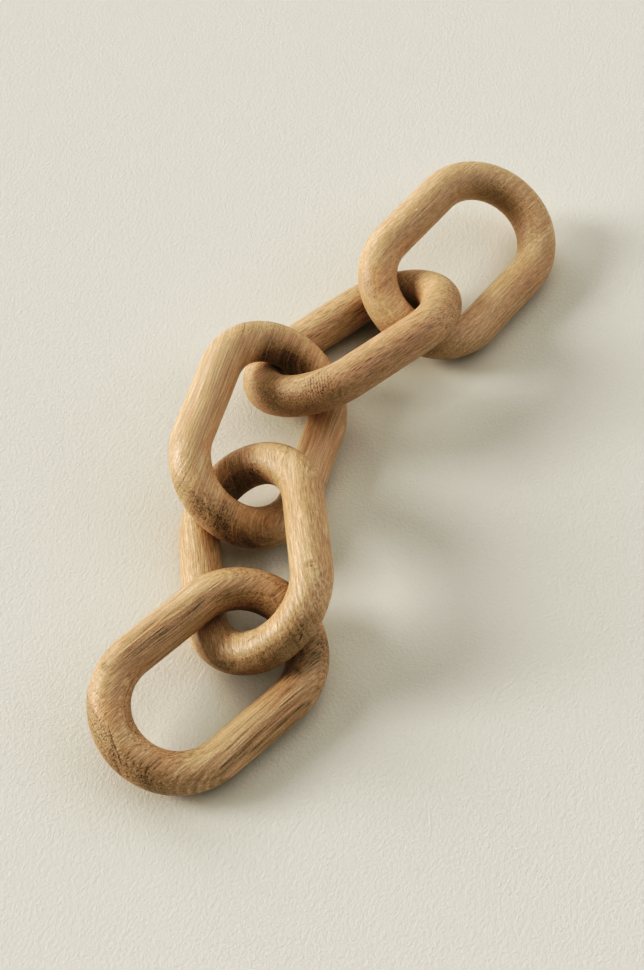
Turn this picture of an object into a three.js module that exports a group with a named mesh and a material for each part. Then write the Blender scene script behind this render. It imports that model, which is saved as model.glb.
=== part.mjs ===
// A run of five interlocked oval links carved from wood, lying slack on a table.
// Millimetres, +Z up. +X runs along the chain from link_1 to link_5, and z = 0 is the table.
import * as THREE from 'three';

const BAR_FLATS = 20; // flats round the bar, one of them the spot that a link lies on
const BOW_STEPS = 23; // steps round each half-turn end; odd, so that a step sits on the crown
const SIDE_STEPS = 1; // steps along each straight side
const LOOP_STEPS = 2 * (SIDE_STEPS + BOW_STEPS);

// Each link is whittled on its own, so their sizes differ by up to a millimetre.
//   bar      diameter of the round bar
//   bow      radius of the half-turn ends, to the middle of the bar
//   side     length of the two straight sides
//   place    the link's middle, seen from above
//   heading  turn of its long axis from +X, degrees
//   rise     lift of its leading end, degrees
//   lean     tip about its long axis, degrees: over 0 it lies on its right side, under 0 on its left
const LINKS = [
  { name: 'link_1', bar: 24.6, bow: 37.9, side: 49.1, place: [-170.1, -23.6], heading: -18.4, rise: 0, lean: 19.6, colour: '#b48a5a' },
  { name: 'link_2', bar: 24.9, bow: 37.7, side: 47.3, place: [-91.6, -8.9], heading: 33.7, rise: 1.6, lean: -32.8, colour: '#c4a071' },
  { name: 'link_3', bar: 25.0, bow: 38.7, side: 49.4, place: [-14.1, 30.4], heading: 11.3, rise: 1.7, lean: 34.8, colour: '#bd9665' },
  { name: 'link_4', bar: 25.5, bow: 37.5, side: 50.9, place: [75.5, 14.8], heading: -23.5, rise: 0, lean: -30.2, colour: '#aa7f55' },
  { name: 'link_5', bar: 24.9, bow: 38.5, side: 50.3, place: [167.7, -13.1], heading: -10.1, rise: 0, lean: 25.3, colour: '#b28c5c' },
];

const { degToRad } = THREE.MathUtils;

// The loop that the middle of a link's bar follows, in the link's own plane, anticlockwise from the
// start of its right-hand side. `flatAt` is the angle, round the bar from outwards towards the top,
// that the middle of one flat faces.
class LinkLoop extends THREE.Curve {
  constructor(bow, side, flatAt) {
    super();
    Object.assign(this, { bow, side, flatAt });
  }

  // The loop is two like halves, and the second is the first turned half a turn.
  getPoint(t, target = new THREE.Vector3()) {
    const steps = (t * LOOP_STEPS) % LOOP_STEPS;
    const half = steps < LOOP_STEPS / 2 ? 1 : -1;
    const along = steps % (LOOP_STEPS / 2);
    if (along < SIDE_STEPS) {
      target.set(this.side * (along / SIDE_STEPS - 0.5), -this.bow, 0);
    } else {
      const angle = Math.PI * ((along - SIDE_STEPS) / BOW_STEPS - 0.5);
      target.set(this.side / 2 + this.bow * Math.cos(angle), this.bow * Math.sin(angle), 0);
    }
    return target.set(half * target.x, half * target.y, 0);
  }

  getTangent(t, target = new THREE.Vector3()) {
    const steps = (t * LOOP_STEPS) % LOOP_STEPS;
    const half = steps < LOOP_STEPS / 2 ? 1 : -1;
    const along = steps % (LOOP_STEPS / 2);
    const angle = Math.PI * Math.max(0, (along - SIDE_STEPS) / BOW_STEPS);
    return target.set(half * Math.cos(angle), half * Math.sin(angle), 0);
  }

  // Steps are counted, not measured, so that the straight sides stay in one piece.
  getPointAt(u, target) {
    return this.getPoint(u, target);
  }

  getTangentAt(u, target) {
    return this.getTangent(u, target);
  }

  // The bar doesn't twist: its flats keep their angle to the link's plane all the way round.
  computeFrenetFrames(segments) {
    const frames = { tangents: [], normals: [], binormals: [] };
    const firstCorner = this.flatAt + Math.PI / BAR_FLATS;
    for (let i = 0; i <= segments; i++) {
      const tangent = this.getTangentAt(i / segments);
      const outwards = new THREE.Vector3(tangent.y, -tangent.x, 0);
      const normal = outwards.applyAxisAngle(tangent, -firstCorner).negate();
      frames.tangents.push(tangent);
      frames.normals.push(normal);
      frames.binormals.push(new THREE.Vector3().crossVectors(tangent, normal));
    }
    return frames;
  }
}

// Radius to the corners of a many-sided bar with the same section area as the round one.
function cornerRadius(diameter) {
  const turn = (2 * Math.PI) / BAR_FLATS;
  return (diameter / 2) * Math.sqrt(turn / Math.sin(turn));
}

// One link, tipped onto a side and let down until it touches the table.
function makeLink({ name, bar, bow, side, place, heading, rise, lean, colour }) {
  const flatAt = degToRad(Math.abs(lean) - 90);
  const loop = new LinkLoop(bow, side, flatAt);
  const geometry = new THREE.TubeGeometry(loop, LOOP_STEPS, cornerRadius(bar), BAR_FLATS, true);
  const material = new THREE.MeshStandardMaterial({ color: colour, roughness: 0.6, metalness: 0 });
  const link = new THREE.Mesh(geometry, material);
  link.name = name;
  link.rotation.set(degToRad(lean), degToRad(-rise), degToRad(heading), 'ZYX');
  link.position.set(place[0], place[1], 0);
  link.position.z = -new THREE.Box3().setFromObject(link, true).min.z;
  return link;
}

const chain = new THREE.Group();
LINKS.forEach((link) => chain.add(makeLink(link)));

export default chain;
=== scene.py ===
from math import pi, radians

import bmesh
import bpy
from mathutils import Matrix, Vector


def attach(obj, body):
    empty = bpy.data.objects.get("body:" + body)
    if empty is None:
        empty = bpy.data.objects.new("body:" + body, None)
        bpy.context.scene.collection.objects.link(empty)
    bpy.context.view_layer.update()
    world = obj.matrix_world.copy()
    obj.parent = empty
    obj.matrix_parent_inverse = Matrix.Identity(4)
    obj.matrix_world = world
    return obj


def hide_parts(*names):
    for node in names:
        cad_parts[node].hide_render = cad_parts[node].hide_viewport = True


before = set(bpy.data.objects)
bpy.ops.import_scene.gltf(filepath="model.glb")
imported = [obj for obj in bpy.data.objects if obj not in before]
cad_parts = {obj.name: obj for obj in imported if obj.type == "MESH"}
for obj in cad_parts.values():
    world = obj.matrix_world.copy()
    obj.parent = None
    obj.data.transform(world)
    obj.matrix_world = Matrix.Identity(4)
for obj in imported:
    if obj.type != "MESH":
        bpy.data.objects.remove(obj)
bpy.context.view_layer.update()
MM = 0.001


# link_1, the end link at the lower left: one closed loop carved from a block of pale mango wood,
# with its grain along the link, and sanded round by hand. It lies flat on its right side, and its
# left side rests on link_2.
BAR_FACETS = 96  # round the bar, fine enough that no facet shows
SIDE_STEPS = 24  # along half of a straight side
BOW_STEPS = 56  # round a quarter turn
WELD = 0.001  # how near two points are made one, in mm


def laid(place, heading, rise, lean):
    """How a link lies: its middle seen from above, in mm, and its turn, lift and tip in degrees."""
    return (Matrix.Translation((*place, 0)) @ Matrix.Rotation(radians(heading), 4, "Z")
            @ Matrix.Rotation(radians(-rise), 4, "Y") @ Matrix.Rotation(radians(lean), 4, "X"))


def carve_link(name, bar, bow, side, pose):
    """Sweeps a round bar along half a side and half a bow, mirrors it twice, and lays it down."""
    work = bmesh.new()
    start = Matrix.Translation((0, -bow, 0)) @ Matrix.Rotation(pi / 2, 4, "Y")
    bmesh.ops.create_circle(work, segments=BAR_FACETS, radius=bar / 2, matrix=start)
    section = work.edges[:]
    for angle, along, steps in ((0, side / 2 / SIDE_STEPS, SIDE_STEPS), (pi / 2, 0, BOW_STEPS)):
        swept = bmesh.ops.spin(work, geom=section, cent=(side / 2, 0, 0), axis=(0, 0, 1),
                               dvec=(along, 0, 0), angle=angle, steps=steps)
        section = [part for part in swept["geom_last"] if isinstance(part, bmesh.types.BMEdge)]
    for axis in "XY":
        bmesh.ops.mirror(work, geom=work.verts[:] + work.edges[:] + work.faces[:], axis=axis,
                         merge_dist=WELD)
    bmesh.ops.remove_doubles(work, verts=work.verts, dist=WELD)
    bmesh.ops.recalc_face_normals(work, faces=work.faces)
    bmesh.ops.transform(work, matrix=pose, verts=work.verts)
    lift = -min(vert.co.z for vert in work.verts)
    bmesh.ops.translate(work, vec=(0, 0, lift), verts=work.verts)
    bmesh.ops.scale(work, vec=(MM, MM, MM), verts=work.verts)
    for face in work.faces:
        face.smooth = True
    mesh = bpy.data.meshes.new(name)
    work.to_mesh(mesh)
    work.free()
    link = bpy.data.objects.new(name, mesh)
    bpy.context.scene.collection.objects.link(link)
    return link, Matrix.Translation((0, 0, lift)) @ pose


def linear(hex_colour):
    """An sRGB colour such as "#b48a5a", as linear red, green, blue and alpha."""
    parts = [int(hex_colour[i:i + 2], 16) / 255 for i in (1, 3, 5)]
    return [c / 12.92 if c <= 0.04045 else ((c + 0.055) / 1.055) ** 2.4 for c in parts] + [1]


def add(tree, kind, values=(), out=0, **settings):
    """Adds a node with its settings, and a value or a link for each input, in order or by name."""
    node = tree.nodes.new("ShaderNode" + kind)
    for name, setting in settings.items():
        setattr(node, name, setting)
    for name, value in values.items() if isinstance(values, dict) else enumerate(values):
        if isinstance(value, bpy.types.NodeSocket):
            tree.links.new(value, node.inputs[name])
        else:
            node.inputs[name].default_value = value
    return node.outputs[out]


class Wood:
    """The wood of one link, drawn right through its block, so that the carving cuts it open.

    Its tone runs from 0, the darkest, to 1, the palest, and darken() takes from it. Lengths are in
    millimetres in the link's own frame: x along the grain, y across to its left, z up from it.
    The pith that the growth layers run round is `pith` off the middle and slopes to the grain.
    """

    WANDER = 7  # how wide the fibres swing from side to side
    LAYER_RUN = 160  # how far along the grain the layers keep their look
    FIGURE = (0.36, 0.66)  # the value of a layer or fleck where it starts to show, and where it is full
    PORE = (0.62, 0.22)  # how far a pore's rim and its dark core are from its middle, in spacings
    WAVE = (-0.8, 0.8)  # the height of a wave where it is palest, and where it is darkest
    PATCH_EDGE = (1.4, 0.5)  # where a patch ends and where it is full, in parts of its reach
    RAGGED_LINE = 0.9
    RAGGED_PATCH = 0.5  # in parts of its reach
    RAGGED_WAVE = 1.5  # in parts of its spacing
    PORE_DEPTH = 0.4

    def __init__(self, name, pose, pith, slope, tone):
        self.material = bpy.data.materials.new(name)
        self.material.use_nodes = True
        self.tree = self.material.node_tree
        self.tone = tone
        self.place = self.fibre = self.add("Mapping", (
            self.add("TexCoord", out="Object"), pose.translation * MM, pose.to_euler(), (MM, MM, MM)),
            vector_type="TEXTURE")

        # The fibres wander to each side over 80 mm, and the edges of marks are ragged.
        swing, rest = (0, self.WANDER, self.WANDER), (0, -self.WANDER / 2, -self.WANDER / 2)
        wander = self.flecks(80, 26, out="Color")
        wander = self.add("VectorMath", (wander, swing, rest), operation="MULTIPLY_ADD")
        self.fibre = self.add("VectorMath", (self.place, wander), operation="ADD")
        self.ragged = self.flecks(7, 2.5)
        turn = (0, *(radians(angle) for angle in slope))
        from_pith = self.add("Mapping", (self.fibre, (0, *pith), turn), vector_type="TEXTURE")
        from_pith = self.add("VectorMath", (from_pith, (0, 1, 1)), operation="MULTIPLY")
        self.radius = self.add("VectorMath", (from_pith,), out="Value", operation="LENGTH")

        # End grain opens where the surface faces along the grain, and drinks in a little more.
        grain = tuple(pose.to_3x3() @ Vector((1, 0, 0)))
        facing = self.add("VectorMath", (self.add("NewGeometry", out="Normal"), grain), out="Value",
                          operation="DOT_PRODUCT")
        facing = self.add("Math", (facing,), operation="ABSOLUTE")
        self.end_grain = self.add("MapRange", (facing, 0.25, 0.95), interpolation_type="SMOOTHSTEP")

        # How much of the flush of red the wood has, from a tenth to almost four tenths.
        self.warmth = self.add("MapRange", (self.flecks(34, 12), 0.4, 0.75, 0.1, 0.38),
                               interpolation_type="SMOOTHSTEP")

    def add(self, kind, values=(), out=0, **settings):
        """Adds a node to this wood."""
        return add(self.tree, kind, values, out, **settings)

    def darken(self, amount, value, start=0.0, full=1.0, where=None):
        """Takes an amount off the tone as a value goes from its start to its full effect."""
        mask = self.add("MapRange", (value, start, full), interpolation_type="SMOOTHSTEP")
        if where is not None:
            mask = self.add("Math", (mask, where), operation="MULTIPLY")
        self.tone = self.add("Math", (mask, -amount, self.tone), operation="MULTIPLY_ADD")

    def figure(self, parts):
        """Darkens the wood by each amount where its layers or flecks are dense."""
        for amount, value in parts:
            self.darken(amount, value, *self.FIGURE)

    def speckle(self, amount, along, spacing, where=None):
        """Darkens open pores: tubes so long and so far apart, cut as dashes, or dots in end grain."""
        steps = self.add("VectorMath", (self.fibre, (along, spacing, spacing)), operation="DIVIDE")
        away = self.add("TexVoronoi", {"Vector": steps, "Scale": 1})
        self.darken(amount, self.add("MapRange", (away, *self.PORE)), where=where)

    def redden(self, amount, where):
        """Adds a share of the red flush in a patch."""
        self.warmth = self.add("Math", (where, amount, self.warmth), operation="MULTIPLY_ADD",
                               use_clamp=True)

    def flecks(self, along, across, out=0):
        """How the wood varies, 0 to 1, in flecks so long along the grain and so wide across it."""
        steps = self.add("VectorMath", (self.fibre, (along, across, across)), operation="DIVIDE")
        return self.add("TexNoise", {"Vector": steps, "Scale": 1, "Detail": 1, "Roughness": 0.6}, out)

    def layers(self, spacing):
        """Growth layers: how the wood varies, 0 to 1, away from the pith, in steps of a spacing."""
        steps = self.add("Math", (self.radius, spacing), operation="DIVIDE")
        drift = self.add("VectorMath", (self.place, (1 / self.LAYER_RUN, 0, 0)), out="Value",
                         operation="DOT_PRODUCT")
        cut = self.add("CombineXYZ", (steps, drift))
        return self.add("TexNoise", {"Vector": cut, "Scale": 1, "Detail": 2}, noise_dimensions="2D")

    def ring(self, radius):
        """How far the wood is from one growth ring of a radius."""
        gap = self.add("Math", (self.radius, radius), operation="SUBTRACT")
        return self.add("Math", (gap,), operation="ABSOLUTE")

    def swirl(self, centre, spacing):
        """Waves of pale and dark, 0 to 1, round a centre, where the fibres turn about a small knot."""
        away = self.add("VectorMath", (self.place, centre), out="Value", operation="DISTANCE")
        away = self.add("Math", (self.ragged, self.RAGGED_WAVE * spacing, away), operation="MULTIPLY_ADD")
        away = self.add("Math", (away, 2 * pi / spacing), operation="MULTIPLY")
        return self.add("MapRange", (self.add("Math", (away,), operation="SINE"), *self.WAVE))

    def patch(self, centre, size):
        """1 inside a patch that reaches so far from its centre along, across and up, and 0 outside."""
        away = self.add("VectorMath", (self.place, centre), operation="SUBTRACT")
        away = self.add("VectorMath", (away, size), operation="DIVIDE")
        away = self.add("VectorMath", (away,), out="Value", operation="LENGTH")
        away = self.add("Math", (self.ragged, self.RAGGED_PATCH, away), operation="MULTIPLY_ADD")
        return self.add("MapRange", (away, *self.PATCH_EDGE), interpolation_type="SMOOTHSTEP")

    def line(self, *points):
        """How far the wood is from a line through some points: a fine crack, or a run of open pores."""
        nearest = 1000.0
        for start, end in zip(points, points[1:]):
            start, run = Vector(start), Vector(end) - Vector(start)
            offset = self.add("VectorMath", (self.place, start), operation="SUBTRACT")
            along = self.add("VectorMath", (offset, run / run.length_squared), out="Value",
                             operation="DOT_PRODUCT")
            along = self.add("Clamp", (along,))
            foot = self.add("VectorMath", {0: run, "Scale": along}, operation="SCALE")
            gap = self.add("VectorMath", (offset, foot), out="Value", operation="DISTANCE")
            nearest = self.add("Math", (gap, nearest), operation="MINIMUM")
        return self.add("Math", (self.ragged, self.RAGGED_LINE, nearest), operation="MULTIPLY_ADD")

    def finish(self, colours, flush, gloss):
        """Colours the tone from darkest to palest, and gives the surface its sheen and open pores."""
        ramp = self.add("ValToRGB", (self.tone,))
        stops = ramp.node.color_ramp.elements
        stops[0].color, stops[1].color = linear(colours[0]), linear(colours[-1])
        for i, colour in enumerate(colours[1:-1], 1):
            stops.new(i / (len(colours) - 1)).color = linear(colour)
        shader = self.tree.nodes["Principled BSDF"]
        # A Mix node's inputs 6 and 7, and its output 2, are its colours.
        self.tree.links.new(self.add("Mix", {0: self.warmth, 6: ramp, 7: linear(flush)}, out=2,
                                     data_type="RGBA", blend_type="MULTIPLY"),
                            shader.inputs["Base Color"])

        # Sanding leaves pale dense wood smoother than dark open wood, and end grain the roughest.
        rough = self.add("Math", (self.tone, -0.25, gloss + 0.15), operation="MULTIPLY_ADD")
        self.tree.links.new(self.add("Math", (self.end_grain, 0.1, rough), operation="MULTIPLY_ADD"),
                            shader.inputs["Roughness"])

        # Open pores are lower than pale wood, and carving by hand leaves the surface a little uneven.
        carved = self.add("Math", (self.flecks(26, 9), 0.5, self.tone), operation="MULTIPLY_ADD")
        self.tree.links.new(self.add("Bump", {"Height": carved, "Distance": self.PORE_DEPTH * MM}),
                            shader.inputs["Normal"])
        return self.material


# Sanded bare mango wood: matt, with a dull shine where the light grazes it, in honey brown from
# dark pores to pale straw, with a flush of red in places. Real pores are about 0.2 mm wide. They and
# the finest growth lines are drawn 0.7 to 1 mm apart in every link, which is the finest that shows.
HONEY = ("#493322", "#755e40", "#ae916e", "#ccad87", "#ebd5b3")
RED_FLUSH = "#ffe6d8"
PINK_FLUSH = "#ffe9e6"

link_1, pose_1 = carve_link("link_1_carved", bar=24.6, bow=37.9, side=49.1,
                            pose=laid((-170.1, -23.6), heading=-18.4, rise=0, lean=19.6))
wood_1 = Wood("sanded_mango_wood_streaked", pose_1, pith=(15, -26), slope=(2, 1), tone=0.98)
wood_1.figure(((0.1, wood_1.layers(8)), (0.08, wood_1.layers(2.4)), (0.1, wood_1.layers(0.9)),
               (0.12, wood_1.flecks(60, 1.6)), (0.14, wood_1.flecks(16, 0.7)),
               (0.12, wood_1.flecks(1.3, 0.7)), (0.06, wood_1.end_grain)))
wood_1.speckle(0.14, 20, 1)
# Long dark streaks on both sides and the far bow, painted shade on the far bow, and a short crack.
wood_1.darken(0.17, wood_1.flecks(60, 1.4), 0.4, 0.62, wood_1.patch((-22, 40, 12), (36, 7, 7)))
wood_1.darken(0.16, wood_1.flecks(10, 1.2), 0.4, 0.6, wood_1.patch((17, 37, 12), (15, 5, 5)))
wood_1.darken(0.18, wood_1.flecks(60, 1.2), 0.42, 0.62, wood_1.patch((-2, -45, 10), (46, 6, 6)))
# Painted shade on the far bow, where link_2's right side crosses over it.
wood_1.darken(0.1, wood_1.patch((56, -26, 11), (14, 10, 9)))
wood_1.darken(0.22, wood_1.line((-31.7, -42.9, 11), (-20.5, -42.8, 11.3)), 1.6, 0.7)
# The near bow: a curved crack, a dark patch of open end grain, and a reddish patch beside it.
wood_1.darken(0.2, wood_1.line((-57.4, 16.2, 12.2), (-63.9, 14.4, 11.6), (-68.3, 3.9, 10.7),
                               (-69.6, -1.2, 10), (-71.7, -7.4, 7.5)), 1.2, 0.5)
open_end_1 = wood_1.patch((-69, -12, 8), (11, 20, 11))
wood_1.speckle(0.1, 4, 0.9, open_end_1)
wood_1.darken(0.11, open_end_1)
wood_1.redden(0.5, wood_1.patch((-62, 22, 10), (14, 12, 8)))
link_1.data.materials.append(wood_1.finish(HONEY, RED_FLUSH, gloss=0.42))
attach(link_1, "root")
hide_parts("link_1")


# link_2, the palest link: one loop carved from a paler block of the same wood. It lies on its left
# side, passes under link_3 and rests its right side on link_1.
link_2, pose_2 = carve_link("link_2_carved", bar=24.9, bow=37.7, side=47.3,
                            pose=laid((-91.6, -8.9), heading=33.7, rise=1.6, lean=-32.8))

# Sanded bare mango wood from a pale part of the tree: straw yellow and even, so that the small dark
# pores and a few fine cracks stand out.
wood_2 = Wood("sanded_mango_wood_pale", pose_2, pith=(26, 15), slope=(1, 3), tone=0.975)
wood_2.figure(((0.1, wood_2.layers(8)), (0.1, wood_2.layers(1.8)), (0.1, wood_2.flecks(20, 1.4)),
               (0.12, wood_2.flecks(9, 0.7)), (0.1, wood_2.flecks(1.4, 0.7)),
               (0.14, wood_2.end_grain)))
wood_2.speckle(0.14, 6, 0.9)
# The near bow: open end grain and two fine cracks. The sides: a short brown mark.
wood_2.speckle(0.1, 3, 0.9, wood_2.patch((-62, 4, 9), (17, 36, 12)))
wood_2.darken(0.3, wood_2.line((-59.3, -4.6, 12.3), (-60.6, 0.6, 12.3)), 1.1, 0.5)
wood_2.darken(0.3, wood_2.line((-63.9, -28.7, 2.9), (-67.9, -24.7, 0.9)), 1.1, 0.5)
wood_2.darken(0.3, wood_2.flecks(2, 4), 0.34, 0.56, wood_2.patch((-29, -44, 10.5), (4, 6, 6)))
# The far bow is darker with painted shade, where it lies inside link_3, and a little redder on top.
wood_2.darken(0.16, wood_2.patch((53, 5, 6), (14, 26, 14)))
wood_2.redden(0.25, wood_2.patch((53, 14, 9), (12, 16, 12)))
link_2.data.materials.append(wood_2.finish(HONEY, RED_FLUSH, gloss=0.42))
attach(link_2, "root")
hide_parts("link_2")


# link_3, the middle link: one loop carved from the same wood. It lies on its right side, and its
# left side passes over link_2 and link_4.
link_3, pose_3 = carve_link("link_3_carved", bar=25.0, bow=38.7, side=49.4,
                            pose=laid((-14.1, 30.4), heading=11.3, rise=1.7, lean=34.8))

# Sanded bare mango wood, pale along its sides with one long fine growth line, and dark at its near
# bow, where the cut opens the end grain and painted shade deepens it, and pale growth lines cross it.
wood_3 = Wood("sanded_mango_wood_speckled", pose_3, pith=(-23, 19), slope=(2, 0), tone=0.98)
wood_3.figure(((0.04, wood_3.layers(8)), (0.05, wood_3.layers(2.2)), (0.11, wood_3.layers(0.9)),
               (0.05, wood_3.flecks(24, 1.4)), (0.1, wood_3.flecks(16, 0.7)),
               (0.08, wood_3.flecks(1.3, 0.7)), (0.12, wood_3.end_grain)))
wood_3.speckle(0.12, 22, 1)
wood_3.darken(0.16, wood_3.ring(61), 0.9, 0.2)
# The near bow: faint rings, then open end grain in a darker patch, partly its own colour and partly
# painted shade, with three pale growth lines.
wood_3.darken(0.1, wood_3.swirl((-56, 32, 9), 2.6), where=wood_3.patch((-65, 31, 5), (10, 9, 9)))
wood_3.speckle(0.26, 3, 0.9, wood_3.patch((-69, 13, 8), (11, 17, 12)))
# Two darker patches: partly the end grain's own colour, partly painted shade, the lower one by the table.
wood_3.darken(0.17, wood_3.patch((-66, -4, 6), (14, 42, 13)))
wood_3.darken(0.14, wood_3.patch((-73, -10, 1), (9, 26, 9)))
for seam in (((-64.7, 20.9, 10.7), (-69.4, 17.1, 8.5), (-72.8, 12.4, 6.1)),
             ((-70.1, 0.4, 10.5), (-73.3, -3.2, 7.6), (-75.1, -7.6, 2.4)),
             ((-61.1, -17.1, 12.4), (-66.1, -20.4, 10), (-68.7, -25.3, 3.5))):
    wood_3.darken(-0.26, wood_3.line(*seam), 1.2, 0.5)
# The far bow: fine growth lines across it, and painted shade where link_4 passes through it.
wood_3.darken(0.14, wood_3.layers(1.7), 0.42, 0.6, wood_3.patch((50, 8, 6), (16, 28, 13)))
wood_3.darken(0.16, wood_3.patch((52, 4, 6), (16, 34, 14)))
link_3.data.materials.append(wood_3.finish(HONEY, RED_FLUSH, gloss=0.43))
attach(link_3, "root")
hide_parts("link_3")


# link_4, the pinkest link: one loop carved from the same wood. It lies flat on its left side, passes
# under link_3 and rests its right side on link_5.
link_4, pose_4 = carve_link("link_4_carved", bar=25.5, bow=37.5, side=50.9,
                            pose=laid((75.5, 14.8), heading=-23.5, rise=0, lean=-30.2))

# Sanded bare mango wood, pinkish brown with long hair-fine pores. Where its near bow turns, the
# fibres wave, which gives a rippled patch.
wood_4 = Wood("sanded_mango_wood_rippled", pose_4, pith=(19, -23), slope=(2, -6), tone=0.89)
wood_4.figure(((0.05, wood_4.layers(8)), (0.03, wood_4.layers(2)), (0.03, wood_4.flecks(26, 1.6)),
               (0.15, wood_4.flecks(9, 0.7)), (0.12, wood_4.flecks(1.3, 0.7)),
               (0.08, wood_4.end_grain)))
wood_4.speckle(0.2, 9, 0.9)
# The near bow: the ripple, and a pale growth line round the tip. The right side is pinker.
ripple = wood_4.swirl((-18, -54, 0), 1.7)
wood_4.darken(0.26, ripple, where=wood_4.patch((-50, -38, 8), (14, 12, 9)))
wood_4.darken(-0.22, wood_4.line((-70.2, -17, 7.4), (-70.4, -22.1, 2.3), (-68.2, -25.7, -3)), 1.1, 0.5)
wood_4.redden(0.3, wood_4.patch((-20, -42, 6), (90, 28, 22)))
# A short dark crack on the right side, and painted shade on the far bow, where link_5 passes through it.
wood_4.darken(0.18, wood_4.line((-18, -47.6, 8.1), (-14.5, -47.2, 8.2)), 1.3, 0.6)
wood_4.darken(0.12, wood_4.patch((56, 20, 4), (14, 24, 14)))
link_4.data.materials.append(wood_4.finish(HONEY, PINK_FLUSH, gloss=0.44))
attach(link_4, "root")
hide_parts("link_4")


# link_5, the end link at the upper right: one loop carved from the same wood. It lies flat on its
# right side, and its left side rests on link_4.
link_5, pose_5 = carve_link("link_5_carved", bar=24.9, bow=38.5, side=50.3,
                            pose=laid((167.7, -13.1), heading=-10.1, rise=0, lean=25.3))

# Sanded bare mango wood, the smoothest and most even, with faint long streaks and a faint reddish
# patch of rings at its near bow.
wood_5 = Wood("sanded_mango_wood_smooth", pose_5, pith=(26, 15), slope=(5, -2), tone=0.95)
wood_5.figure(((0.05, wood_5.layers(9)), (0.05, wood_5.layers(2.6)), (0.08, wood_5.layers(1)),
               (0.07, wood_5.flecks(26, 1.8)), (0.08, wood_5.flecks(12, 0.75)),
               (0.1, wood_5.flecks(1.2, 0.75)), (0.08, wood_5.end_grain)))
wood_5.speckle(0.13, 6, 0.9)
# The near bow: the reddish patch with its rings.
rings = wood_5.swirl((-62, 26, 9), 3)
wood_5.darken(0.06, rings, where=wood_5.patch((-62, 26, 9), (14, 14, 9)))
wood_5.darken(0.04, wood_5.patch((-60, 27, 9), (16, 12, 9)))
wood_5.redden(0.4, wood_5.patch((-61, 26, 9), (18, 14, 9)))
# The left side: one long dark growth line, and a tiny pale chip.
wood_5.darken(0.14, wood_5.line((19.9, 38.3, 12.4), (-40.6, 36.1, 12.4)), 1.2, 0.4)
wood_5.darken(-0.3, wood_5.line((-3.4, 40.6, 12.3), (-2.2, 40.6, 12.3)), 1.3, 0.7)
link_5.data.materials.append(wood_5.finish(HONEY, RED_FLUSH, gloss=0.42))
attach(link_5, "root")
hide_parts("link_5")


# The table that the chain lies on: a flat board under matt off-white paint, rolled on. It isn't part
# of the object.
TABLE_SIZE = 6.0
STIPPLE_WIDTH = 2.2 * MM
STIPPLE_DEPTH = 0.6 * MM


def rolled_paint():
    """Matt acrylic paint, rolled on: no shine, and the faint uneven stipple that a roller leaves."""
    material = bpy.data.materials.new("rolled_matt_acrylic_paint")
    material.use_nodes = True
    tree = material.node_tree
    shader = tree.nodes["Principled BSDF"]
    place = add(tree, "TexCoord", out="Object")
    stipple = add(tree, "TexNoise", {"Vector": place, "Scale": 1 / STIPPLE_WIDTH, "Detail": 4,
                                     "Roughness": 0.72})
    tree.links.new(add(tree, "Bump", {"Height": stipple, "Distance": STIPPLE_DEPTH}),
                   shader.inputs["Normal"])
    shader.inputs["Base Color"].default_value = linear("#e0dccf")
    shader.inputs["Roughness"].default_value = 0.8
    return material


board = bmesh.new()
bmesh.ops.create_grid(board, size=TABLE_SIZE / 2)
table_mesh = bpy.data.meshes.new("table")
board.to_mesh(table_mesh)
board.free()
table_mesh.materials.append(rolled_paint())
table = bpy.data.objects.new("table", table_mesh)
bpy.context.scene.collection.objects.link(table)


# Light: soft daylight from a tall window low on the camera's left, and the pale room that it lights.
# The view's curves deepen the darkest shades and take a little red out of them, and they warm the
# middle shades.
def soft_light(name, azimuth, height, spread, strength):
    """A far soft light on a bearing anticlockwise from +X, at a height above the table."""
    lamp = bpy.data.lights.new(name, "SUN")
    lamp.angle = radians(spread)
    lamp.energy = strength
    light = bpy.data.objects.new(name, lamp)
    bpy.context.scene.collection.objects.link(light)
    way = (Matrix.Rotation(radians(azimuth), 3, "Z") @ Matrix.Rotation(radians(-height), 3, "Y")
           @ Vector((1, 0, 0)))
    light.rotation_euler = way.to_track_quat("Z", "Y").to_euler()


def bend(curve, *points):
    """Bends one of the view's curves through points: a level of light, and what it is shown as."""
    for light_in, light_out in points:
        curve.points.new(light_in, light_out)


soft_light("daylight_upper", azimuth=110, height=29, spread=20, strength=1.8)
soft_light("daylight_lower", azimuth=116, height=12, spread=20, strength=1.25)
soft_light("daylight_side", azimuth=66, height=22, spread=30, strength=0.85)
soft_light("room", azimuth=350, height=62, spread=100, strength=1.65)
soft_light("room_low", azimuth=285, height=18, spread=50, strength=0.4)
view = bpy.context.scene.view_settings
view.view_transform = "Standard"
view.use_curve_mapping = True
red, _, blue, tone = view.curve_mapping.curves
bend(tone, (0.03, 0.007), (0.06, 0.018), (0.12, 0.065), (0.22, 0.174), (0.35, 0.354), (0.5, 0.51),
     (0.65, 0.67))
bend(red, (0.025, 0.019), (0.05, 0.04), (0.1, 0.089), (0.25, 0.247), (0.45, 0.457), (0.65, 0.65))
bend(blue, (0.15, 0.149), (0.25, 0.242), (0.37, 0.348), (0.48, 0.467), (0.6, 0.6))
view.curve_mapping.update()

# Camera: a 78 mm lens, looking steeply down at the chain from beside link_1.
CAMERA_PLACE = Vector((-0.6379, -0.3816, 1.0542))
CAMERA_HEADING = 30.72
CAMERA_DIP = 55.27
CAMERA_ROLL = -3.06
CAMERA_LENS = 77.99
lens = bpy.data.cameras.new("camera")
lens.lens = CAMERA_LENS
camera = bpy.data.objects.new("camera", lens)
bpy.context.scene.collection.objects.link(camera)
look = (Matrix.Rotation(radians(CAMERA_HEADING - 90), 4, "Z")
        @ Matrix.Rotation(radians(90 - CAMERA_DIP), 4, "X")
        @ Matrix.Rotation(radians(CAMERA_ROLL), 4, "Z"))
camera.matrix_world = Matrix.Translation(CAMERA_PLACE) @ look
bpy.context.scene.camera = camera
